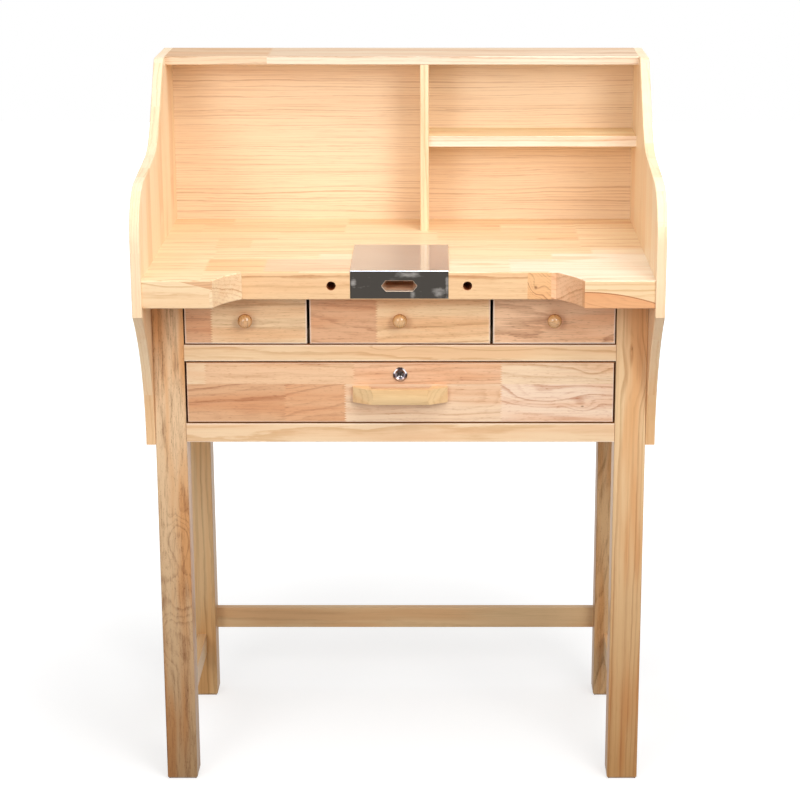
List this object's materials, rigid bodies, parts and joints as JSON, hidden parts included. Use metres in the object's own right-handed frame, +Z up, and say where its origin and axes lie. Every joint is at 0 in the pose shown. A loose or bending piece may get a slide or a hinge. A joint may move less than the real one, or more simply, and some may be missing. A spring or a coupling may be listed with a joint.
{
  "type": "jewelers bench",
  "caption": "Wooden jewelers bench with a belly cut-out, steel bench plate with pin slot, gallery shelf, drawers with knobs and a lockable wide drawer.",
  "frame": {"origin": "on the floor, under the middle of the bench", "axes": "+Z up, -Y towards the sitter, +X to the sitter's right"},
  "size_m": [0.8, 0.5, 1.148],
  "materials": {
    "pine_legs": "satin lacquered solid wood",
    "pine_panels": "satin lacquered edge-glued boards",
    "pine_worktop": "satin lacquered finger-jointed block",
    "pine_back": "satin lacquered fine-grained board",
    "drawer_fronts": "satin lacquered finger-jointed board",
    "drawer_boxes": "bare planed wood",
    "drawer_bottoms": "bare plywood",
    "turned_wood": "satin lacquered turned wood",
    "plate_steel": "ground and polished",
    "zinc_screws": "zinc plated",
    "lock_chrome": "bright"
  },
  "bodies": {
    "bench": {"leg_front_left": "pine_legs", "leg_front_right": "pine_legs", "leg_rear_left": "pine_legs", "leg_rear_right": "pine_legs", "rear_stretcher": "pine_legs", "side_stretcher_left": "pine_legs", "side_stretcher_right": "pine_legs", "middle_rail": "pine_legs", "bottom_rail": "pine_legs", "side_panel_left": "pine_panels", "side_panel_right": "pine_panels", "top_board": "pine_panels", "gallery_divider": "pine_panels", "gallery_shelf": "pine_panels", "panel_plugs": "pine_panels", "worktop": "pine_worktop", "gallery_back": "pine_back", "rear_apron": "pine_back", "deck_bearers": "drawer_boxes", "small_drawer_guides": "drawer_boxes", "large_drawer_runners": "drawer_boxes", "drawer_stops": "drawer_boxes", "gallery_dowels": "drawer_boxes", "drawer_deck": "drawer_bottoms", "bench_plate": "plate_steel", "bench_plate_screws": "zinc_screws", "wood_screws": "zinc_screws"},
    "left_drawer": {"left_drawer_front": "drawer_fronts", "left_drawer_side_left": "drawer_boxes", "left_drawer_side_right": "drawer_boxes", "left_drawer_back": "drawer_boxes", "left_drawer_bottom": "drawer_bottoms", "left_drawer_knob": "turned_wood", "left_drawer_knob_screw": "zinc_screws"},
    "middle_drawer": {"middle_drawer_front": "drawer_fronts", "middle_drawer_side_left": "drawer_boxes", "middle_drawer_side_right": "drawer_boxes", "middle_drawer_back": "drawer_boxes", "middle_drawer_bottom": "drawer_bottoms", "middle_drawer_knob": "turned_wood", "middle_drawer_knob_screw": "zinc_screws"},
    "right_drawer": {"right_drawer_front": "drawer_fronts", "right_drawer_side_left": "drawer_boxes", "right_drawer_side_right": "drawer_boxes", "right_drawer_back": "drawer_boxes", "right_drawer_bottom": "drawer_bottoms", "right_drawer_knob": "turned_wood", "right_drawer_knob_screw": "zinc_screws"},
    "large_drawer": {"large_drawer_front": "drawer_fronts", "large_drawer_side_left": "drawer_boxes", "large_drawer_side_right": "drawer_boxes", "large_drawer_back": "drawer_boxes", "large_drawer_bottom": "drawer_bottoms", "pull_handle": "turned_wood", "pull_screws": "zinc_screws", "lock_housing": "lock_chrome", "lock_nut": "lock_chrome"},
    "lock_plug": {"lock_plug": "lock_chrome", "lock_cam": "lock_chrome", "lock_cam_screw": "zinc_screws"}
  },
  "joints": [
    {"name": "left_drawer_slide", "type": "slide", "parent": "bench", "child": "left_drawer", "axis": [0, -1, 0], "range_m": [0, 0.28]},
    {"name": "middle_drawer_slide", "type": "slide", "parent": "bench", "child": "middle_drawer", "axis": [0, -1, 0], "range_m": [0, 0.28]},
    {"name": "right_drawer_slide", "type": "slide", "parent": "bench", "child": "right_drawer", "axis": [0, -1, 0], "range_m": [0, 0.28]},
    {"name": "large_drawer_slide", "type": "slide", "parent": "bench", "child": "large_drawer", "axis": [0, -1, 0], "range_m": [0, 0.28]},
    {"name": "lock_turn", "type": "hinge", "parent": "large_drawer", "child": "lock_plug", "pos_m": [0, -0.13, 0.688], "axis": [0, 1, 0], "range_deg": [0, 90]}
  ]
}
